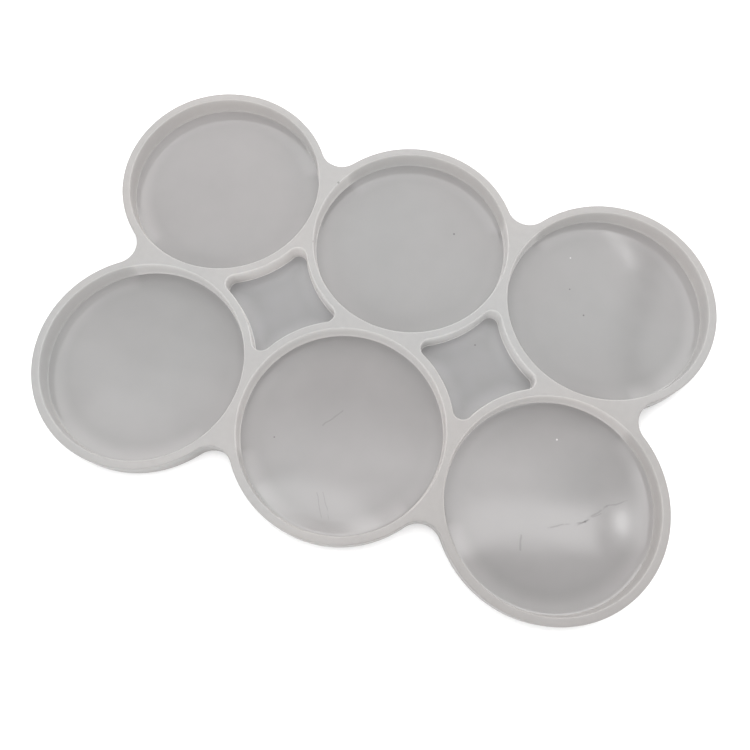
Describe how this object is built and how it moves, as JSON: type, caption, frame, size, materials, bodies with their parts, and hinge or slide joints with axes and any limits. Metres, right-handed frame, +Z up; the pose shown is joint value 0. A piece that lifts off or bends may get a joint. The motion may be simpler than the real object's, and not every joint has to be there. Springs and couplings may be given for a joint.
{
  "type": "resin casting mould",
  "caption": "Soft white silicone tray of round, flat-bottomed cups in two rows, with star-shaped pockets between them, for casting resin coasters.",
  "frame": {"origin": "centre of the flat underside, on the line between the two rows of cups", "axes": "+X along the long rows of cups, +Y across to the back row, +Z up, the way the cups open"},
  "size_m": [0.3176, 0.2132, 0.012],
  "materials": {
    "silicone_wall": "satin translucent white silicone, slightly warm where it is thin",
    "silicone_cup_floor": "glossy translucent white silicone, mirror-smooth where the castings take their shine",
    "silicone_pocket_floor": "semi-gloss translucent white silicone"
  },
  "bodies": {
    "back_row": {"cup_wall_back_left": "silicone_wall", "cup_wall_back_middle": "silicone_wall", "cup_wall_back_right": "silicone_wall", "cup_floor_back_left": "silicone_cup_floor", "cup_floor_back_middle": "silicone_cup_floor", "cup_floor_back_right": "silicone_cup_floor", "pocket_floor_back_left": "silicone_pocket_floor", "pocket_floor_back_right": "silicone_pocket_floor"},
    "front_row": {"cup_wall_front_left": "silicone_wall", "cup_wall_front_middle": "silicone_wall", "cup_wall_front_right": "silicone_wall", "cup_floor_front_left": "silicone_cup_floor", "cup_floor_front_middle": "silicone_cup_floor", "cup_floor_front_right": "silicone_cup_floor", "pocket_floor_front_left": "silicone_pocket_floor", "pocket_floor_front_right": "silicone_pocket_floor"}
  },
  "joints": [
    {"name": "centre_flex", "type": "hinge", "parent": "back_row", "child": "front_row", "pos_m": [0, 0, 0.012], "axis": [-1, 0, 0], "range_deg": [0, 60], "stiffness_Nm_per_rad": 0.6}
  ]
}
